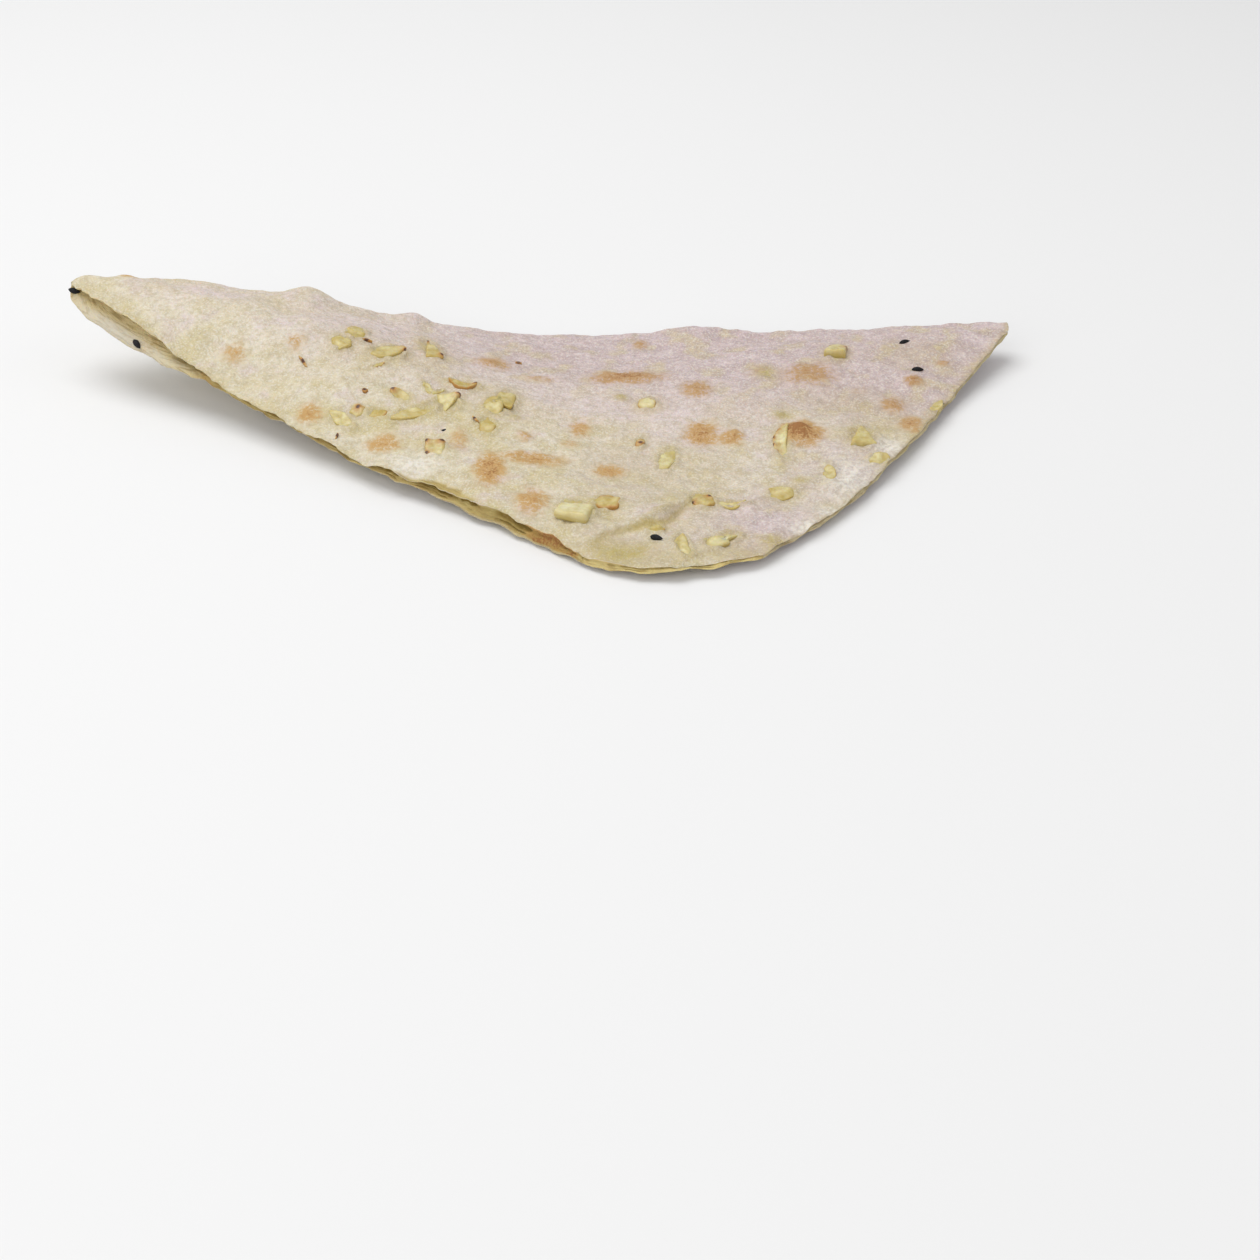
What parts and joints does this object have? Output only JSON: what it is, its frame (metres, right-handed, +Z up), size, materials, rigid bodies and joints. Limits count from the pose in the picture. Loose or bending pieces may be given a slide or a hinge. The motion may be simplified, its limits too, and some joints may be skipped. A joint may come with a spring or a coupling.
{
  "type": "garlic naan slice",
  "caption": "Cut slice of thin garlic naan, two skins round a pocket that gapes at a raised tip, with chopped garlic and dark seeds baked into its top.",
  "frame": {"origin": "centre of the bounding box, on the surface that the slice lies on", "axes": "+X along the baked crust from the raised tip, +Y from the blunt near end to the crust, +Z up"},
  "size_m": [0.2381, 0.1218, 0.0242],
  "materials": {
    "bread": "matte",
    "garlic": "satin",
    "nigella": "matte"
  },
  "bodies": {
    "root": {"naan_slice": "bread"}
  },
  "joints": []
}
